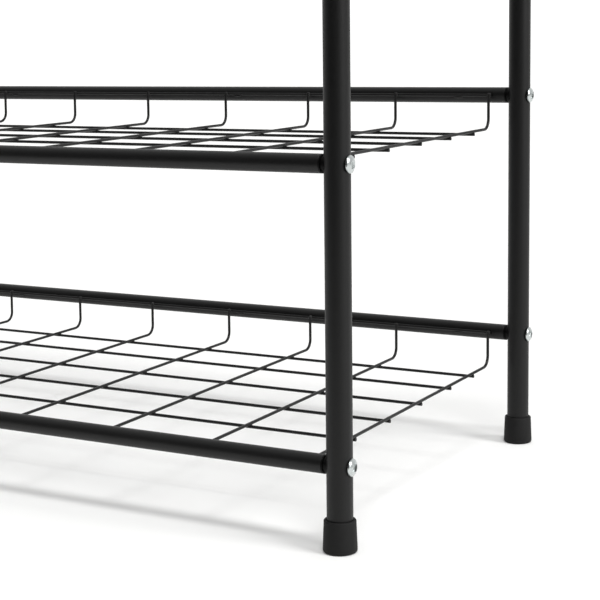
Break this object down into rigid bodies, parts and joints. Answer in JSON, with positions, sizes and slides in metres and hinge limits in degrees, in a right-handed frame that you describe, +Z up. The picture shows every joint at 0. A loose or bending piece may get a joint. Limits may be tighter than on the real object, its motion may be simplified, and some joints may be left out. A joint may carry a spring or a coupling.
{
  "type": "tiered shoe rack",
  "caption": "Free-standing shoe rack: two bent-tube end frames joined by screwed rails that carry sloping wire-grid shelves with a raised rear edge.",
  "frame": {"origin": "on the floor, below the middle of the rack", "axes": "+X along the rails towards the right-hand end frame, +Y from the low front rails to the raised rear rails, +Z up"},
  "size_m": [0.7722, 0.3216, 0.57],
  "materials": {
    "post_powder_coat": "satin black powder coat on steel tube",
    "rail_powder_coat": "satin black powder coat on steel tube",
    "wire_powder_coat": "satin black powder coat on drawn steel wire",
    "foot_rubber": "moulded matt black rubber",
    "plug_nylon": "moulded black nylon",
    "zinc_plated_steel": "bright zinc-plated steel"
  },
  "bodies": {
    "root": {"end_frame_left": "post_powder_coat", "foot_front_left": "foot_rubber", "foot_rear_left": "foot_rubber", "end_frame_right": "post_powder_coat", "foot_front_right": "foot_rubber", "foot_rear_right": "foot_rubber", "front_rail_lower": "rail_powder_coat", "rear_rail_lower": "rail_powder_coat", "rail_plugs_lower": "plug_nylon", "screws_lower": "zinc_plated_steel", "cross_wires_lower": "wire_powder_coat", "long_wires_lower": "wire_powder_coat", "header_wire_lower": "wire_powder_coat", "front_rail_middle": "rail_powder_coat", "rear_rail_middle": "rail_powder_coat", "rail_plugs_middle": "plug_nylon", "screws_middle": "zinc_plated_steel", "cross_wires_middle": "wire_powder_coat", "long_wires_middle": "wire_powder_coat", "header_wire_middle": "wire_powder_coat", "front_rail_upper": "rail_powder_coat", "rear_rail_upper": "rail_powder_coat", "rail_plugs_upper": "plug_nylon", "screws_upper": "zinc_plated_steel", "cross_wires_upper": "wire_powder_coat", "long_wires_upper": "wire_powder_coat", "header_wire_upper": "wire_powder_coat"}
  },
  "joints": []
}
